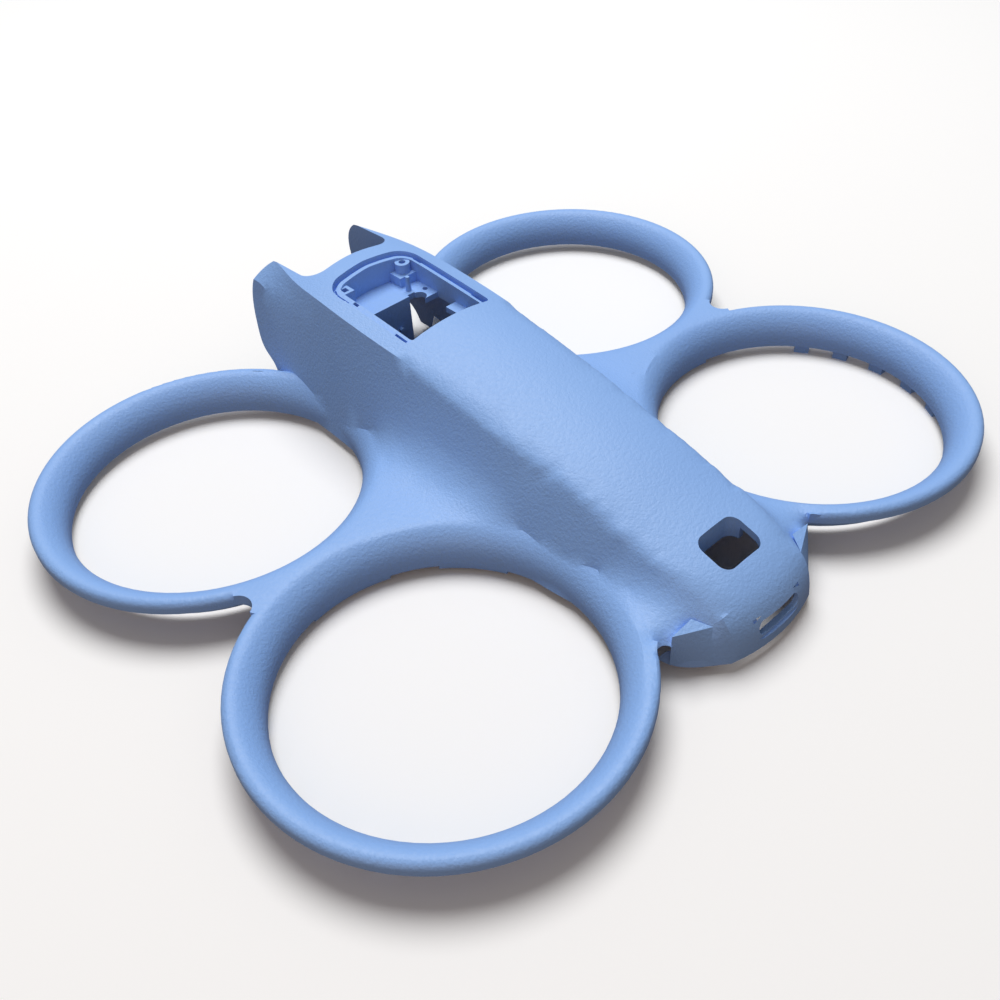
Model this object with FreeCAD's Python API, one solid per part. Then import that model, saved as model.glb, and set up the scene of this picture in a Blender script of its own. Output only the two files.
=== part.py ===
import FreeCAD, Part
import math
import os

# Drone upper shell: one thin-walled moulding. X is across, Y runs from tail to fork, Z is up.
# The origin is the middle of the four duct rings, at the level of the clip tips.

V = FreeCAD.Vector

# Overall sizes in mm
wall = 1.4
ring_outer_r = 32.8
lip_width = 5.8
ring_overlap = 0.9
front_ring_side = 13.4
rear_ring_side = 12.7

duct_r = ring_outer_r - lip_width
ring_y = ring_outer_r - ring_overlap
front_ring_x = ring_outer_r + front_ring_side
rear_ring_x = ring_outer_r + rear_ring_side

# Levels
duct_edge_z = 1.8
skirt_z = duct_edge_z + 4.8
lip_z = skirt_z + 2.2
sky_z = 60.0
below = 2.0

# Ring lip: rounded mouth inside, rounded rim outside, hollows between rings and at the tail
bell_width = 4.5
bell_depth = 6.5
rim_round = 1.3
rim_cut_back = 0.25
meet_angle = 14.0
flare = [(4.5, 1.7), (8.5, 5.5), (11.0, 12.0)]
notch_r = 2.7
tail_notch_r = 1.4
tail_side = 17.4
web_root = 4.0

# The flat web and the spine run this far, past the rings, before they are trimmed to them
web_reach = ring_outer_r * 3.4
end_y = ring_y + ring_outer_r + 1.3
blend_sink = 0.6
blend_tail = 4.0

# Fork
fork_y = 61.6
notch_half = 10.2
notch_y = 45.8
notch_bow = 0.8
notch_corner_r = 3.6
lining_half = 0.8
lining_low_z = 12.0
tip_thick = 1.4
prong_edge = [
    (54.6, 40.0), (56.4, 31.0), (58.2, 27.0), (60.2, 25.4), (61.6, 23.6), (62.3, 20.6),
    (62.1, 18.4), (61.5, 16.3), (60.0, 13.0), (58.4, 10.6), (56.6, 9.3), (54.0, 8.3),
    (51.6, 6.5), (50.6, 3.0), (50.2, -6.0),
]

# Window seat, opening and tray
window_rear_y = 16.3
window_front_y = 41.4
window_half = 10.1
window_bow = 0.9
window_front_r = 4.2
window_rear_r = 1.0
seat_depth = 0.8
seat_width = 1.6
rear_sill = 0.5
groove_width = 0.7
groove_depth = 0.8
frame_wall = 0.8
tray_y = 33.6
tray_z = 22.6
tray_thick = 1.2

# Cross wall hanging from the rear edge of the tray
cross_left = -8.4
cross_right = 3.5
cross_low_z = 12.2
peg_x = 0.5
peg_z = 16.5

# Button hole
button_x = 9.6
button_y = 7.0
button_r = 2.0
button_at_y = -49.6
button_z = 14.1
button_wall_depth = 3.4
button_wall = 1.1

# Port slot in the tail face
tail_y = -61.0
port_length = 10.0
port_height = 2.8
port_z = 6.0
port_rim = 0.8
port_rim_depth = 0.4
port_skin = 0.5

# Clips under the rear duct edges
clip_count = 5
clip_width = 3.0
clip_thick = 1.0
clip_pitch = 16.6

# Short skirts under the rear duct edges, as (start angle, end angle) on the right-hand ring
skirt_arcs = [(78.7, 110.8), (128.8, 154.1)]
skirt_drop = 0.9

# Deck: side line as (y, height above the skirt level), crown across, bow of the tail in plan
deck_crown = 2.0
crown_half = 13.0
tail_bow = 1.4
tail_half = 9.5
tail_start = -40.0
tail_length = 15.0
deck_line = [
    (70.0, 20.0), (60.0, 20.9), (48.4, 21.5), (42.4, 21.8), (30.3, 21.4), (16.1, 20.4),
    (0.0, 18.4), (-15.1, 15.7), (-30.3, 12.7), (-40.4, 10.1), (-49.4, 7.9),
    (-55.3, 5.8), (-59.0, 3.0), (-60.6, 0.0), (-61.1, -4.8), (-61.2, -10.0),
]

# Spine stations: y, half width at the duct edge, shoulder x, shoulder z, half width at the crease,
# crease z, radius of the hollow blend into the web
spine_line = [
    (-end_y, 6.6, 6.1, 4.6, 5.8, 7.0, 3.0),
    (-59.7, 9.9, 9.3, 5.0, 9.0, 7.5, 3.0),
    (-56.6, 14.0, 12.4, 6.0, 10.1, 9.6, 3.0),
    (-53.4, 16.8, 14.2, 7.0, 10.6, 10.9, 3.0),
    (-46.4, 17.4, 13.8, 8.6, 11.0, 14.1, 5.5),
    (-30.3, 18.9, 15.0, 10.5, 11.5, 17.7, 8.0),
    (-15.1, 20.4, 16.4, 11.6, 12.1, 20.6, 9.5),
    (0.0, 21.6, 17.2, 12.6, 12.7, 22.8, 10.0),
    (15.1, 20.8, 16.4, 15.6, 13.1, 24.9, 7.5),
    (30.3, 19.8, 15.2, 19.9, 13.2, 26.2, 5.0),
    (42.0, 19.8, 15.1, 20.5, 12.8, 26.6, 5.0),
    (52.0, 19.8, 14.9, 20.6, 11.9, 25.7, 3.0),
    (end_y, 19.8, 14.8, 20.6, 10.7, 23.8, 3.0),
]


def ring_centres():
    return [(side * x, y) for side in (1, -1) for x, y in ((front_ring_x, ring_y), (rear_ring_x, -ring_y))]


def join(shapes):
    return shapes[0].multiFuse(shapes[1:]).removeSplitter()


def loft(wires):
    return Part.makeLoft(wires, True, False)


def box(x0, x1, y0, y1, z0, z1):
    return Part.makeBox(x1 - x0, y1 - y0, z1 - z0, V(x0, y0, z0))


def mirrored(shape):
    return shape.mirror(V(0, 0, 0), V(1, 0, 0))


def turn(points, x, y):
    """Solid turned about the upright axis at x, y; a point with four numbers ends an arc."""
    edges = []
    for a, b in zip(points, points[1:] + points[:1]):
        start = V(a[0], 0, a[1])
        end = V(b[0], 0, b[1])
        if len(b) == 4:
            edges.append(Part.Arc(start, V(b[2], 0, b[3]), end).toShape())
        else:
            edges.append(Part.makeLine(start, end))
    solid = Part.Face(Part.Wire(edges)).revolve(V(0, 0, 0), V(0, 0, 1), 360)
    solid.translate(V(x, y, 0))
    return solid


def bell(x, y, off):
    """Space inside one duct: straight wall, rounded mouth and a flare above the lip."""
    r0 = duct_r + off
    z1 = lip_z - off
    depth = bell_depth - off
    stop = math.radians(90 - meet_angle)
    rise = math.tan(math.radians(meet_angle))
    rim = (r0 + bell_width * (1 - math.cos(stop)), z1 - depth + depth * math.sin(stop))
    middle = (r0 + bell_width * (1 - math.cos(stop / 2)), z1 - depth + depth * math.sin(stop / 2))
    lip = (rim[0] + (z1 - rim[1]) / rise, z1)
    points = [(0, duct_edge_z - below), (r0, duct_edge_z - below), (r0, z1 - depth), rim + middle, lip]
    points += [(lip[0] + dx, z1 + dz) for dx, dz in flare]
    points += [(lip[0] + flare[-1][0], sky_z), (0, sky_z)]
    return turn(points, x, y)


def puck(x, y, off):
    """Outer body of one ring with a rounded top edge."""
    r = ring_outer_r - off
    z1 = lip_z - off
    curl = max(rim_round - off, rim_cut_back)
    stop = math.radians(90 - meet_angle)
    end = (r - curl * (1 - math.cos(stop)), z1 - curl + curl * math.sin(stop))
    middle = (r - curl * (1 - math.cos(stop / 2)), z1 - curl + curl * math.sin(stop / 2))
    inner = r - lip_width / 2
    top = z1 + (end[0] - inner) * math.tan(math.radians(meet_angle))
    points = [(0, duct_edge_z - below), (r, duct_edge_z - below), (r, z1 - curl), end + middle,
              (inner, top), (inner, lip_z * 3), (0, lip_z * 3)]
    return turn(points, x, y)


def hollow(a, ra, b, rb, r, side):
    """Centre of a circle touching circles a and b from outside, and its two touch points."""
    gap = (b - a).Length
    u = (b - a) * (1 / gap)
    along = (gap ** 2 + (ra + r) ** 2 - (rb + r) ** 2) / (2 * gap)
    away = math.sqrt((ra + r) ** 2 - along ** 2)
    c = a + u * along + V(u.y, -u.x, 0) * away * side
    return c, a + (c - a) * (ra / (ra + r)), b + (c - b) * (rb / (rb + r))


def web_prism(side, off):
    """Fills the gap between the two rings of one side, with a rounded notch outside."""
    z0 = duct_edge_z - below
    front = V(side * front_ring_x, ring_y, z0)
    rear = V(side * rear_ring_x, -ring_y, z0)
    c, p, q = hollow(front, ring_outer_r, rear, ring_outer_r, notch_r, -side)
    corners = [V(side * web_root, ring_y, z0), front, p, q, rear, V(side * web_root, -ring_y, z0)]
    prism = Part.Face(Part.makePolygon(corners + corners[:1])).extrude(V(0, 0, sky_z))
    return prism.cut(Part.makeCylinder(notch_r + off, sky_z + below, V(c.x, c.y, z0 - below / 2)))


def tail_prism(side, off):
    """Small filled corner where the rear ring leaves the spine."""
    z0 = duct_edge_z - below
    rear = V(side * rear_ring_x, -ring_y, z0)
    x = side * (tail_side + tail_notch_r)
    y = -ring_y - math.sqrt((ring_outer_r + tail_notch_r) ** 2 - (rear.x - x) ** 2)
    c = V(x, y, z0)
    p = rear + (c - rear) * (ring_outer_r / (ring_outer_r + tail_notch_r))
    corners = [V(side * web_root, y, z0), V(side * tail_side, y, z0), p, rear, V(side * web_root, -ring_y, z0)]
    prism = Part.Face(Part.makePolygon(corners + corners[:1])).extrude(V(0, 0, sky_z))
    return prism.cut(Part.makeCylinder(tail_notch_r + off, sky_z + below, V(c.x, c.y, z0 - below / 2)))


def saddle_section(station, off):
    """Flat web top running into the flank by a hollow arc."""
    y, lo, sx, sz, w, cz, blend = station
    lean = (lo - sx) / (sz - duct_edge_z)
    z0 = duct_edge_z - below
    z1 = lip_z - off
    up = V(-lean, 0, 1).normalize()
    foot_x = lo - lean * (z1 - duct_edge_z) - off * math.sqrt(1 + lean ** 2) - blend_sink
    radius = blend + off
    run = radius / math.tan(math.atan2(up.z, up.x) / 2)
    corner = V(foot_x, y, z1)
    a = corner + V(run, 0, 0)
    b = corner + up * run
    centre = a + V(0, 0, radius)
    inward = corner - centre
    middle = centre + inward * (radius / inward.Length)
    top = V(b.x - blend_tail, y, b.z + blend_sink)
    far = V(web_reach, y, z1)
    return Part.Wire([
        Part.makeLine(V(0, y, z0), V(web_reach, y, z0)),
        Part.makeLine(V(web_reach, y, z0), far),
        Part.makeLine(far, a),
        Part.Arc(a, middle, b).toShape(),
        Part.makeLine(b, top),
        Part.makeLine(top, V(0, y, top.z)),
        Part.makeLine(V(0, y, top.z), V(0, y, z0)),
    ])


def spine_section(station, off):
    """Cross section of the spine: leaning wall, shoulder and a band carried above the deck."""
    y, lo, sx, sz, w, cz, blend = station
    lean = (lo - sx) / (sz - duct_edge_z)
    band = (sx - w) / (cz - sz)
    low = V(1, 0, lean).normalize()
    high = V(1, 0, band).normalize()
    shoulder = V(sx, y, sz) - (low + high) * (off / (1 + low.dot(high)))
    base = V(lo + lean * below - off * math.sqrt(1 + lean ** 2), y, duct_edge_z - below)
    top_z = cz + 10
    top = V(shoulder.x - band * (top_z - shoulder.z), y, top_z)
    right = [base, shoulder, top]
    points = right + [V(-p.x, y, p.z) for p in reversed(right)]
    return Part.makePolygon(points + points[:1])


def deck_profile(x, off):
    """Side outline of the deck at one distance from the middle, moved inward by the wall."""
    drop = deck_crown * (x / crown_half) ** 2
    bow = tail_bow * (x / tail_half) ** 2
    points = []
    for i, (y, z) in enumerate(deck_line):
        a = deck_line[max(i - 1, 0)]
        b = deck_line[min(i + 1, len(deck_line) - 1)]
        inward = V(0, a[1] - b[1], b[0] - a[0]).normalize() * off
        tail = max(0.0, min(1.0, (tail_start - y) / tail_length))
        points.append(V(x, y + bow * tail, skirt_z + z - drop * (1 - tail / 2)) + inward)
    curve = Part.BSplineCurve()
    curve.interpolate(points)
    front = V(x, points[0].y, -20)
    back = V(x, points[-1].y, -20)
    return Part.Wire([curve.toShape(), Part.makeLine(points[-1], back), Part.makeLine(back, front),
                      Part.makeLine(front, points[0])])


def deck_solid(off):
    return loft([deck_profile(x, off) for x in (-24, -12, 0, 12, 24)])


def rounded(points, radii):
    """Closed outline through corner points, each corner rounded by its own radius."""
    count = len(points)
    ends = []
    for i, p in enumerate(points):
        u = (points[i - 1] - p).normalize()
        v = (points[(i + 1) % count] - p).normalize()
        half = u.getAngle(v) / 2
        run = radii[i] / math.tan(half)
        middle = p + (u + v).normalize() * (radii[i] / math.sin(half) - radii[i])
        ends.append((p + u * run, middle, p + v * run))
    edges = []
    for i, (start, middle, end) in enumerate(ends):
        edges.append(Part.Arc(start, middle, end).toShape())
        edges.append(Part.makeLine(end, ends[(i + 1) % count][0]))
    return Part.Wire(edges)


def plan_prism(points, radii, z0, z1):
    wire = rounded([V(x, y, z0) for x, y in points], radii)
    return Part.Face(wire).extrude(V(0, 0, z1 - z0))


def window_prism(inset, rear_inset, z0, z1):
    """Window outline with a bowed front edge, moved inward."""
    half = window_half - inset
    rear = window_rear_y + rear_inset
    front = window_front_y - inset
    points = [(-half, rear), (half, rear), (half, front), (0, front + window_bow), (-half, front)]
    big = max(window_front_r - inset, window_rear_r)
    return plan_prism(points, [window_rear_r, window_rear_r, big, window_half, big], z0, z1)


def fork_prism():
    """Space between the two prongs, open to the front."""
    far = fork_y + lip_width * 3
    points = [(-notch_half, far), (-notch_half, notch_y), (0, notch_y + notch_bow),
              (notch_half, notch_y), (notch_half, far)]
    return plan_prism(points, [wall / 2, notch_corner_r, ring_outer_r, notch_corner_r, wall / 2], -5, sky_z)


def front_cut():
    """Material ahead of the prong edge, seen from the side."""
    points = [V(-ring_outer_r, y, z) for y, z in prong_edge]
    curve = Part.BSplineCurve()
    curve.interpolate(points)
    a = points[-1]
    b = points[0]
    far = fork_y * 1.5
    corners = [a, V(a.x, far, a.z), V(a.x, far, b.z), b]
    edges = [curve.toShape()] + [Part.makeLine(p, q) for p, q in zip(corners, corners[1:])]
    return Part.Face(Part.Wire(edges)).extrude(V(ring_outer_r * 2, 0, 0))


def form(off):
    """Whole outer form and its spine, or the hollow inside when moved in by the wall."""
    half = loft([saddle_section(s, off) for s in spine_line])
    pucks = [puck(x, y, off) for x, y in ring_centres()]
    webs = [prism(side, off) for prism in (web_prism, tail_prism) for side in (1, -1)]
    rings = join(pucks + webs).common(half.fuse(mirrored(half)))
    rings = rings.cut(join([bell(x, y, off) for x, y in ring_centres()]))
    spine = loft([spine_section(s, off) for s in spine_line]).common(deck_solid(off))
    if off == 0:
        z0 = duct_edge_z - below * 2
        sleeves = [Part.makeCylinder(duct_r + wall, lip_z * 2, V(x, y, z0)) for x, y in ring_centres()]
        reach = ring_outer_r * 3
        rings = rings.cut(box(-reach, reach, -reach, reach, z0, skirt_z).cut(join(sleeves)))
        spine = spine.cut(front_cut()).cut(fork_prism())
    return rings.fuse(spine), spine


def shell():
    """Outer form less the hollow, open underneath, with closed prongs."""
    outside, spine = form(0.0)
    body = outside.cut(form(wall)[0])
    middle = notch_half + lining_half / 2
    linings = [box(side * middle - lining_half, side * middle + lining_half, notch_y - wall, fork_y + wall * 2,
                   lining_low_z, sky_z) for side in (1, -1)]
    tips = [box(side * middle * 2 - middle, side * middle * 2 + middle, fork_y - tip_thick, fork_y + wall * 2,
                lining_low_z, sky_z) for side in (1, -1)]
    body = body.fuse(join(linings + tips).common(spine))
    reach = ring_outer_r * 3
    return body.cut(box(-reach, reach, -reach, reach, -below * 5, duct_edge_z))


def window(body):
    """Recessed seat with a groove, hanging frame, tray floor and its small fittings."""
    low = tray_z - tray_thick
    seat_deck = deck_solid(seat_depth)
    groove_deck = deck_solid(seat_depth + groove_depth)
    block = window_prism(-frame_wall, -frame_wall, low, sky_z).common(deck_solid(seat_depth / 2))
    body = body.fuse(block)
    outline = window_prism(0, 0, low, sky_z)
    body = body.cut(outline.cut(seat_deck))
    groove = outline.cut(window_prism(groove_width, -1, low - 1, sky_z + 1))
    groove = groove.cut(box(-window_half - 1, 0, 0, tray_y + 1, low - 1, sky_z + 1))
    body = body.cut(groove.cut(groove_deck))
    body = body.cut(window_prism(seat_width, rear_sill, tray_z, sky_z))
    rear = box(-window_half, window_half, 0, tray_y, low - 5, sky_z)
    body = body.cut(window_prism(seat_width, rear_sill, low - 2, sky_z).common(rear))
    return body


def tray_fittings():
    """Solids added to and taken from the tray: boss, step, pin, socket, tab and side pockets."""
    low = tray_z - tray_thick
    right = window_half - seat_width + 0.3
    shelf = box(right - 3.6, right, tray_y - 3.4, tray_y + 0.4, low, tray_z)
    shelf = shelf.cut(Part.makeCylinder(1.5, 4, V(right - 3.8, tray_y - 1.9, low - 1)))
    tab = box(right - 2.8, right, 21.0, 24.8, low, tray_z)
    step = box(right - 4.3, right, 36.7, window_front_y - seat_width + 0.4, low, tray_z + 2.0)
    boss = Part.makeCylinder(1.5, 4.0, V(right - 1.9, 38.8, tray_z))
    pin = Part.makeCone(0.6, 0.4, 3.0, V(right - 3.8, 35.0, tray_z))
    socket = box(-right, -right + 2.7, 37.3, window_front_y - seat_width + 0.2, low, tray_z + 4.0)
    cross = box(cross_left, cross_right, tray_y - tray_thick / 2, tray_y + tray_thick / 2, cross_low_z, tray_z)
    peg = Part.makeCylinder(0.45, 1.6, V(peg_x, tray_y - 1.4, peg_z), V(0, 1, 0))
    added = [shelf, tab, step, boss, pin, socket, cross, peg]
    cuts = [
        Part.makeCylinder(0.7, 6, V(right - 1.9, 38.8, tray_z + 0.6)),
        Part.makeCylinder(0.55, 6, V(right - 1.2, tray_y - 0.6, low - 1)),
        box(-right + 0.8, -right + 2.0, 38.0, 39.3, tray_z + 0.5, sky_z),
        box(-window_half - 0.1, -window_half + 0.6, 35.0, 37.2, tray_z + 2.4, sky_z),
        box(-window_half + 0.9, -right + 0.2, 32.4, 33.8, tray_z + 1.6, sky_z),
        box(-window_half + 0.2, -window_half + 1.0, 17.6, 20.8, tray_z + 0.6, sky_z),
        box(window_half - 1.0, window_half, 17.4, 20.8, tray_z + 0.6, sky_z),
        box(window_half - 1.0, window_half, 35.8, 38.2, tray_z + 2.2, sky_z),
    ]
    return added, cuts


def button_hole():
    hx = button_x / 2
    hy = button_y / 2
    points = [(-hx, button_at_y - hy), (hx, button_at_y - hy), (hx, button_at_y + hy), (-hx, button_at_y + hy)]
    return plan_prism(points, [button_r] * 4, 0, sky_z)


def button_wall_plate():
    """Deep wall under the front edge of the button hole."""
    front = button_at_y + button_y / 2
    plate = box(-button_x / 2 - button_wall, button_x / 2 + button_wall, front - button_r, front + button_wall,
                button_z - button_wall_depth, sky_z)
    return plate.common(deck_solid(wall / 3))


def port_wire(grow, y):
    """Round-ended outline of the port at one depth."""
    r = port_height / 2 + grow
    a = port_length / 2 - port_height / 2
    return Part.Wire([
        Part.makeLine(V(-a, y, port_z - r), V(a, y, port_z - r)),
        Part.Arc(V(a, y, port_z - r), V(a + r, y, port_z), V(a, y, port_z + r)).toShape(),
        Part.makeLine(V(a, y, port_z + r), V(-a, y, port_z + r)),
        Part.Arc(V(-a, y, port_z + r), V(-a - r, y, port_z), V(-a, y, port_z - r)).toShape(),
    ])


def port_cut():
    """Slot through the tail, a shallow rim outside and a pocket that thins the wall inside."""
    skin = tail_y + port_rim_depth + port_skin
    through = Part.Face(port_wire(0, tail_y - wall * 3)).extrude(V(0, wall * 7, 0))
    rim = Part.Face(port_wire(port_rim, tail_y - wall * 3)).extrude(V(0, wall * 3 + port_rim_depth, 0))
    side = port_length / 2 + port_rim
    pocket = box(-side, side, skin + wall / 3, skin + wall * 2, port_z - port_height / 2 - port_rim,
                 port_z + port_height / 2 + port_rim)
    return join([through, rim, pocket])


def clips():
    made = []
    for k in range(clip_count):
        clip = box(duct_r + wall / 3, duct_r + wall + clip_thick, -clip_width / 2, clip_width / 2,
                   0, duct_edge_z * 2)
        clip.rotate(V(0, 0, 0), V(0, 0, 1), (k - (clip_count - 1) / 2) * clip_pitch)
        clip.translate(V(rear_ring_x, -ring_y, 0))
        made += [clip, mirrored(clip)]
    return made


def arc_skirts():
    made = []
    for start, end in skirt_arcs:
        z0 = duct_edge_z - skirt_drop
        outer = Part.makeCylinder(duct_r + wall * 0.9, skirt_drop * 2, V(0, 0, z0), V(0, 0, 1), end - start)
        arc = outer.cut(Part.makeCylinder(duct_r + wall * 0.2, skirt_drop * 3, V(0, 0, z0 - skirt_drop / 2)))
        arc.rotate(V(0, 0, 0), V(0, 0, 1), start)
        arc.translate(V(rear_ring_x, -ring_y, 0))
        made += [arc, mirrored(arc)]
    return made


def upper_shell():
    body = window(shell())
    added, cuts = tray_fittings()
    body = body.multiFuse(added + [button_wall_plate()])
    body = body.cut(join([button_hole(), port_cut()]))
    body = body.cut(cuts[0].multiFuse(cuts[1:]))
    return body.multiFuse(clips() + arc_skirts()).removeSplitter()


body = upper_shell()
print("upper_shell", body.isValid(), len(body.Solids), len(body.Faces), round(body.Volume, 1))
os.makedirs("parts", exist_ok=True)
body.exportStep("parts/upper_shell.step")
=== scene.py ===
# %% [markdown]
# # Drone upper shell
# The object is the upper half of a small ducted drone's housing: one thin blue moulding with
# a long spine, a forked nose and four round duct rings. The construction model holds every
# wall. This file softens where the flank meets the web, closes two small corners on each side
# of the tail, and gives the shell a surface, a light and a camera.

# %% Load the frame
import bpy
import bmesh
import math
from mathutils import Matrix, Vector


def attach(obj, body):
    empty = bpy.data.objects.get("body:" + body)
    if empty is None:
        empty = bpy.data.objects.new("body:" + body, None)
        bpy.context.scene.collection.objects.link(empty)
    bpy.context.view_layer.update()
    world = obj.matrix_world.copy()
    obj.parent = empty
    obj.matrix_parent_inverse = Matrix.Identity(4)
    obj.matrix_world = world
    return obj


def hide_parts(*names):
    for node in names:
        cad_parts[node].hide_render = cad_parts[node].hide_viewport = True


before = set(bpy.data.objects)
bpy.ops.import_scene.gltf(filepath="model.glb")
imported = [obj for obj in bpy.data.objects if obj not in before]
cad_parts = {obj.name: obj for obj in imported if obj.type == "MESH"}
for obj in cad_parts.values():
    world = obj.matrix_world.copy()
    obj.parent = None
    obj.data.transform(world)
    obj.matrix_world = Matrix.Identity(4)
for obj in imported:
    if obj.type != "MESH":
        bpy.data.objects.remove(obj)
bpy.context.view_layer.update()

# %% [markdown]
# ## Camera
# A photograph of four equal rings gives its own camera away: each ring shows as an ellipse,
# and one lens position explains all of them. The numbers here come from that fit. The camera
# looks from behind, from the left and from above, and is rolled by a few degrees.

# %% Camera at the photograph's angle
MM = 0.001
LOOK_AT_MM = (-13.09, -10.06, 6.6)
VIEW_ANGLES = (-130.388, 42.538, -3.71)
VIEW_DISTANCE_MM = 187.42
LENS_MM = 38.07
look_at = Vector(LOOK_AT_MM) * MM
azimuth, elevation, roll = (math.radians(a) for a in VIEW_ANGLES)
distance = VIEW_DISTANCE_MM * MM

back = Vector((math.cos(elevation) * math.cos(azimuth), math.cos(elevation) * math.sin(azimuth),
               math.sin(elevation)))
right = Vector((0, 0, 1)).cross(back).normalized()
up = back.cross(right)
tilted_right = right * math.cos(roll) + up * math.sin(roll)
tilted_up = up * math.cos(roll) - right * math.sin(roll)

camera_data = bpy.data.cameras.new("camera")
camera_data.lens = LENS_MM
camera_data.sensor_width = 36.0
camera_data.clip_start = 0.01
camera = bpy.data.objects.new("camera", camera_data)
bpy.context.scene.collection.objects.link(camera)
turn = Matrix((tilted_right, tilted_up, back)).transposed().to_4x4()
camera.matrix_world = Matrix.Translation(look_at + back * distance) @ turn
bpy.context.scene.camera = camera
print("camera at", [round(v, 4) for v in camera.matrix_world.translation])

# %% [markdown]
# ## Colour and node helpers
# Colours are written as they look on a screen, so one function turns them into the linear
# values a shader works with. A second one adds a shader node with its settings and links.

# %% Helpers for materials
def linear(hex_colour):
    parts = [int(hex_colour[i:i + 2], 16) / 255 for i in (1, 3, 5)]
    return tuple(c / 12.92 if c <= 0.04045 else ((c + 0.055) / 1.055) ** 2.4 for c in parts) + (1.0,)


def node(tree, kind, settings=None, values=None, links=None):
    n = tree.nodes.new(kind)
    for key, value in (settings or {}).items():
        setattr(n, key, value)
    for key, value in (values or {}).items():
        n.inputs[key].default_value = value
    for key, socket in (links or {}).items():
        tree.links.new(socket, n.inputs[key])
    return n


def new_material(name):
    material = bpy.data.materials.new(name)
    material.use_nodes = True
    material.node_tree.nodes.clear()
    return material, material.node_tree


print("deck blue in linear light:", [round(c, 3) for c in linear("#94BEF8")])

# %% [markdown]
# ## Moulded plastic
# The shell is injection moulded from a stiff blend such as ABS with polycarbonate. The steel
# mould was spark eroded, which leaves a fine even grain on the plastic: matt, with soft tiny
# bumps about half a millimetre apart and a finer one between. The colour is in the plastic,
# so it barely changes; the eye sees the grain as many small soft lights and shades.

# %% Moulded blue plastic with a spark-eroded grain
SHELL_BLUE = "#94BEF8"
SHELL_BLUE_DEEP = "#8AB4F2"
GRAIN_MM = 0.6
GRAIN_DEPTH_MM = 0.16
GRAIN_STRENGTH = 0.6
FINE_GRAIN_MM = 0.28
FINE_SHARE = 0.35
FLOW_MM = 30.0
GLOSSIER, DULLER = 0.03, 0.05


def moulded_plastic(name, light, deep, roughness=0.5):
    material, tree = new_material(name)
    place = node(tree, "ShaderNodeTexCoord")
    spots = place.outputs["Object"]
    grain = node(tree, "ShaderNodeTexNoise", None,
                 {"Scale": 1 / (GRAIN_MM * MM), "Detail": 2.0, "Roughness": 0.5}, {"Vector": spots})
    fine = node(tree, "ShaderNodeTexNoise", None,
                {"Scale": 1 / (FINE_GRAIN_MM * MM), "Detail": 1.0, "Roughness": 0.5}, {"Vector": spots})
    flow = node(tree, "ShaderNodeTexNoise", None,
                {"Scale": 1 / (FLOW_MM * MM), "Detail": 3.0, "Roughness": 0.5}, {"Vector": spots})
    blue = node(tree, "ShaderNodeMix", {"data_type": "RGBA"}, {"A": linear(light), "B": linear(deep)},
                {"Factor": flow.outputs["Fac"]})
    height = node(tree, "ShaderNodeMath", {"operation": "MULTIPLY_ADD"}, {1: FINE_SHARE},
                  {0: fine.outputs["Fac"], 2: grain.outputs["Fac"]})
    bump = node(tree, "ShaderNodeBump", None, {"Strength": GRAIN_STRENGTH, "Distance": GRAIN_DEPTH_MM * MM},
                {"Height": height.outputs["Value"]})
    dull = node(tree, "ShaderNodeMapRange", None,
                {"From Min": 0.35, "From Max": 0.65,
                 "To Min": roughness - GLOSSIER, "To Max": roughness + DULLER},
                {"Value": grain.outputs["Fac"]})
    skin = node(tree, "ShaderNodeBsdfPrincipled", None, {"IOR": 1.5},
                {"Base Color": blue.outputs["Result"], "Roughness": dull.outputs["Result"],
                 "Normal": bump.outputs["Normal"]})
    node(tree, "ShaderNodeOutputMaterial", None, None, {"Surface": skin.outputs["BSDF"]})
    return material


shell_plastic = moulded_plastic("moulded_abs_pc_blue", SHELL_BLUE, SHELL_BLUE_DEEP)
print("material:", shell_plastic.name)

# %% [markdown]
# ## The outer skin
# The real moulding flows from the leaning flank into the flat web in one wide hollow. The
# construction node leaves fine steps there. A test picks the outer skin between the deck crease
# and the ring mouths, so that only this part is smoothed. A second, wider test adds a thin band
# over the crease behind the window, where the real edge is a little soft.

# %% Tests for the outer skin (places in mm)
RING_CENTRES = [(side * x * MM, y * MM) for side in (1, -1) for x, y in ((46.2, 31.9), (45.5, -31.9))]
MOUTH_RADIUS = 31.0 * MM
SKIN_LOW_Z = 7.6
FLANK_LOW_Z = 9.2
WEB_END_X = 38
CREASE_X = 14.0
CREASE_WIDEST_Y = 15.0
CREASE_TAPER = 0.042
BLEND_Y = (-57.0, 33.0)
BAND_Y = (-56.0, 13.0)
BAND_INSIDE = 2.6
LEAST_UP, LEAST_OUT = -0.1, -0.25


def on_skin(v, inside, y_range):
    """True on the outer skin outside the ring mouths, from a line beside the deck crease."""
    x, y, z = abs(v.co.x) / MM, v.co.y / MM, v.co.z / MM
    out = v.normal.x * (1 if v.co.x > 0 else -1)
    outside = v.normal.z > LEAST_UP and out > LEAST_OUT and z > SKIN_LOW_Z
    crease = CREASE_X - CREASE_TAPER * abs(y - CREASE_WIDEST_Y) - inside
    mouth = min(math.hypot(v.co.x - cx, v.co.y - cy) for cx, cy in RING_CENTRES)
    clear = mouth > MOUTH_RADIUS or z > FLANK_LOW_Z
    return outside and clear and crease < x < WEB_END_X and y_range[0] < y < y_range[1]


def on_blend(v):
    return on_skin(v, 0.0, BLEND_Y)


def on_band(v):
    return on_blend(v) or on_skin(v, BAND_INSIDE, BAND_Y)


print("blend along the length:", BLEND_Y, "crease band:", BAND_Y)

# %% [markdown]
# ## Finer faces, then smoothing
# The node is one closed wall of loose triangles. A copy with its doubles merged gets finer,
# more even triangles on the outer skin, and then each of their points moves towards its
# neighbours, many times over, which turns the steps into one soft hollow.

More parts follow.
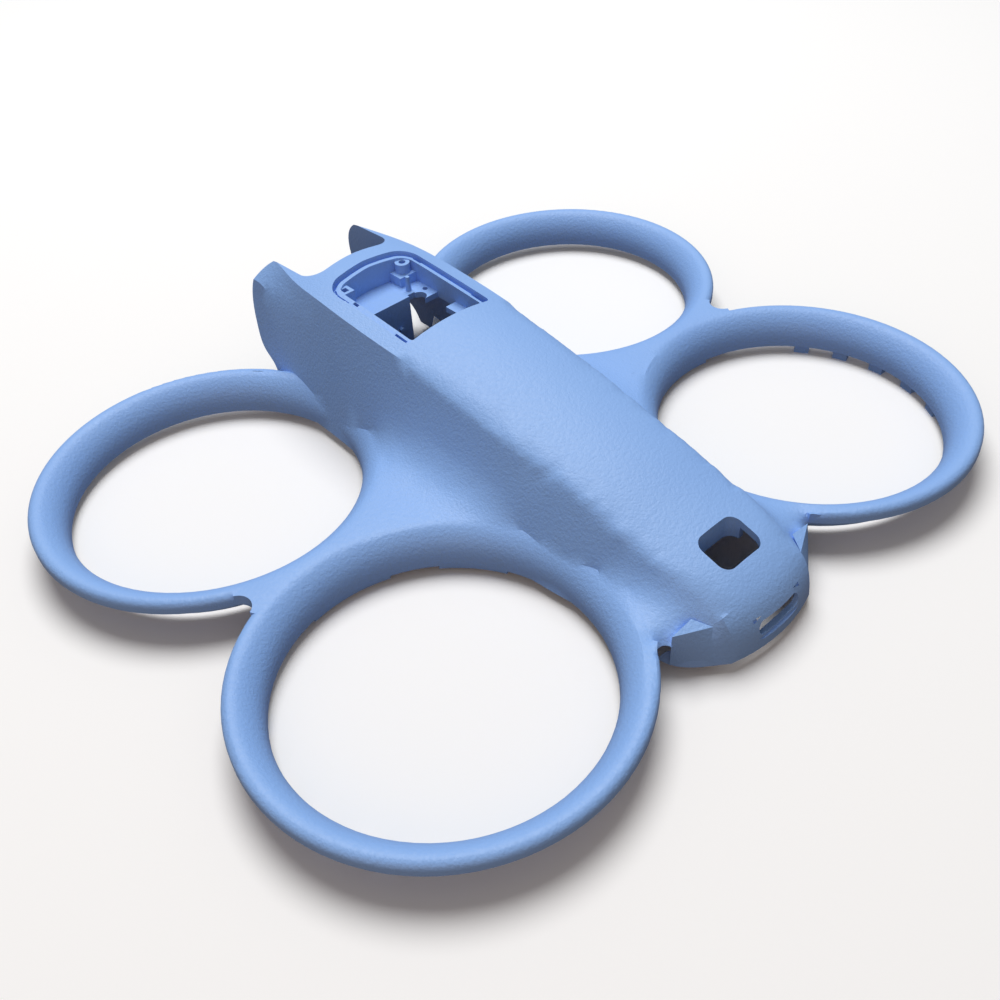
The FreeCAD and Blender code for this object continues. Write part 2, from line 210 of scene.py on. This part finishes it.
# %% Copy of the shell with a smooth blend
FINE_EDGE = 1.3 * MM
MOST_HALVINGS = 7
SMOOTH_ROUNDS = 60
BAND_ROUNDS = 6


def refine(shape):
    """Halve the long edges on the skin until all are short, and even out the triangles."""
    for _ in range(MOST_HALVINGS):
        shape.normal_update()
        chosen = [e for e in shape.edges if e.calc_length() > FINE_EDGE and all(on_band(v) for v in e.verts)]
        if not chosen:
            break
        bmesh.ops.subdivide_edges(shape, edges=chosen, cuts=1)
        bmesh.ops.triangulate(shape, faces=[f for f in shape.faces if len(f.verts) > 3])
        shape.normal_update()
        skin_faces = [f for f in shape.faces if all(on_band(v) for v in f.verts)]
        inner = [e for e in shape.edges if len(e.link_faces) == 2 and all(on_band(v) for v in e.verts)]
        bmesh.ops.beautify_fill(shape, faces=skin_faces, edges=inner, method="ANGLE")
    shape.normal_update()


def relax(shape, points, rounds):
    for _ in range(rounds):
        bmesh.ops.smooth_vert(shape, verts=points, factor=0.5,
                              use_axis_x=True, use_axis_y=True, use_axis_z=True)


mesh = bpy.data.objects["upper_shell"].data.copy()
mesh.name = "shell_moulding"
merged = bmesh.new()
merged.from_mesh(mesh)
bmesh.ops.remove_doubles(merged, verts=merged.verts, dist=0.001 * MM)
refine(merged)
blend = [v for v in merged.verts if on_blend(v)]
relax(merged, blend, SMOOTH_ROUNDS)
relax(merged, [v for v in merged.verts if on_band(v)], BAND_ROUNDS)
print("blend points:", len(blend), "faces:", len(merged.faces))

# %% [markdown]
# ## Small corners at the tail
# The web ends as a ledge beside the tail, so a flat-sided corner carries it down to the tail's
# flank. The wall behind the port is thin, and its pocket opens at two corners, so a small plate
# lies behind the skin there and closes them.

# %% Tail corners and plates behind the port (places in mm)
TAIL_CORNER = [(17.3, -53.0, 8.75), (17.3, -53.0, 2.0), (12.9, -53.0, 9.3), (11.2, -56.0, 8.5),
               (12.0, -57.0, 5.9), (12.1, -58.0, 2.1)]
TAIL_FACE_Y = -60.6
TAIL_FACE_Z = 6.6
TAIL_LEAN = 0.533
TAIL_CROWN = 0.006
TAIL_BOW = 0.0155
PLATE_X = (4.9, 6.4)
PLATE_Z = (7.4, 8.9)
PLATE_UNDER = 0.04
PLATE_THICK = 0.6


def tail_skin(x, z):
    """Place along the length of the tail's outer face."""
    lean = TAIL_LEAN * (z - TAIL_FACE_Z + TAIL_CROWN * x * x)
    return TAIL_FACE_Y + lean + TAIL_BOW * x * x


def add_hull(shape, points):
    corners = [shape.verts.new(Vector(p) * MM) for p in points]
    bmesh.ops.convex_hull(shape, input=corners)
    bmesh.ops.delete(shape, geom=[v for v in corners if not v.link_faces], context="VERTS")


for side in (1, -1):
    add_hull(merged, [(side * x, y, z) for x, y, z in TAIL_CORNER])
    add_hull(merged, [(side * x, tail_skin(x, z) + PLATE_UNDER + deep, z)
                      for x in PLATE_X for z in PLATE_Z for deep in (0, PLATE_THICK)])
print("faces with the corners:", len(merged.faces))

# %% [markdown]
# ## The shell
# Faces that meet at a small angle are shaded as one smooth skin, and true edges stay crisp.
# The finished copy then stands for the node.

# %% Shell with smooth moulded faces
CREASE_ANGLE = math.radians(28)
merged.normal_update()
for face in merged.faces:
    face.smooth = True
for edge in merged.edges:
    edge.smooth = len(edge.link_faces) == 2 and edge.calc_face_angle(0.0) < CREASE_ANGLE
merged.to_mesh(mesh)
merged.free()
shell = bpy.data.objects.new("shell_moulding", mesh)
bpy.context.scene.collection.objects.link(shell)
mesh.materials.clear()
mesh.materials.append(shell_plastic)
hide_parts("upper_shell")
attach(shell, "root")
print("shell faces:", len(mesh.polygons))

# %% [markdown]
# ## Floor and light
# A plain pale floor carries the shell. One large soft lamp hangs above and beyond it, as in
# the photograph, where the deck is bright and the wall that faces the camera lies in shade.
# A weak second lamp and a dim sky fill the shade. The floor looks white to the camera, but it
# throws back only a dull warm light, so that the shaded flank stays dark.

# %% Floor
FLOOR_REACH = 3.0
FLOOR_WHITE = "#FFFFFF"
FLOOR_BOUNCE = "#7A6A60"
floor_mesh = bpy.data.meshes.new("floor")
floor_corners = [(x * FLOOR_REACH, y * FLOOR_REACH, 0) for x, y in ((-1, -1), (1, -1), (1, 1), (-1, 1))]
floor_mesh.from_pydata(floor_corners, [], [(0, 1, 2, 3)])
floor = bpy.data.objects.new("floor", floor_mesh)
bpy.context.scene.collection.objects.link(floor)
floor_paint, tree = new_material("floor_matt_white")
seen_by_eye = node(tree, "ShaderNodeLightPath")
tone = node(tree, "ShaderNodeMix", {"data_type": "RGBA"},
            {"A": linear(FLOOR_BOUNCE), "B": linear(FLOOR_WHITE)},
            {"Factor": seen_by_eye.outputs["Is Camera Ray"]})
matt = node(tree, "ShaderNodeBsdfDiffuse", None, None, {"Color": tone.outputs["Result"]})
node(tree, "ShaderNodeOutputMaterial", None, None, {"Surface": matt.outputs["BSDF"]})
floor_mesh.materials.append(floor_paint)
print("floor half width:", FLOOR_REACH, "m")


# %% Lamps and sky
def soft_lamp(name, place, size, watts, tint="#FFFFFF"):
    lamp_data = bpy.data.lights.new(name, "AREA")
    lamp_data.shape = "DISK"
    lamp_data.size = size
    lamp_data.energy = watts
    lamp_data.color = linear(tint)[:3]
    lamp = bpy.data.objects.new(name, lamp_data)
    lamp.location = place
    lamp.rotation_euler = (-Vector(place)).to_track_quat("-Z", "Y").to_euler()
    bpy.context.scene.collection.objects.link(lamp)


SKY_LIGHT = 0.2
soft_lamp("key", (0.16, 0.26, 0.8), 0.6, 6.2)
soft_lamp("fill", (-0.5, -0.35, 0.25), 0.6, 0.7, "#FFD9C0")
sky = bpy.data.worlds.new("sky")
sky.use_nodes = True
sky.node_tree.nodes.clear()
dim = node(sky.node_tree, "ShaderNodeBackground", None, {"Color": linear("#FFFFFF"), "Strength": SKY_LIGHT})
seen = node(sky.node_tree, "ShaderNodeBackground", None, {"Color": linear("#FFFFFF"), "Strength": 1.0})
path = node(sky.node_tree, "ShaderNodeLightPath")
choice = node(sky.node_tree, "ShaderNodeMixShader", None, None,
              {0: path.outputs["Is Camera Ray"], 1: dim.outputs["Background"], 2: seen.outputs["Background"]})
node(sky.node_tree, "ShaderNodeOutputWorld", None, None, {"Surface": choice.outputs["Shader"]})
bpy.context.scene.world = sky
bpy.context.scene.view_settings.view_transform = "Standard"
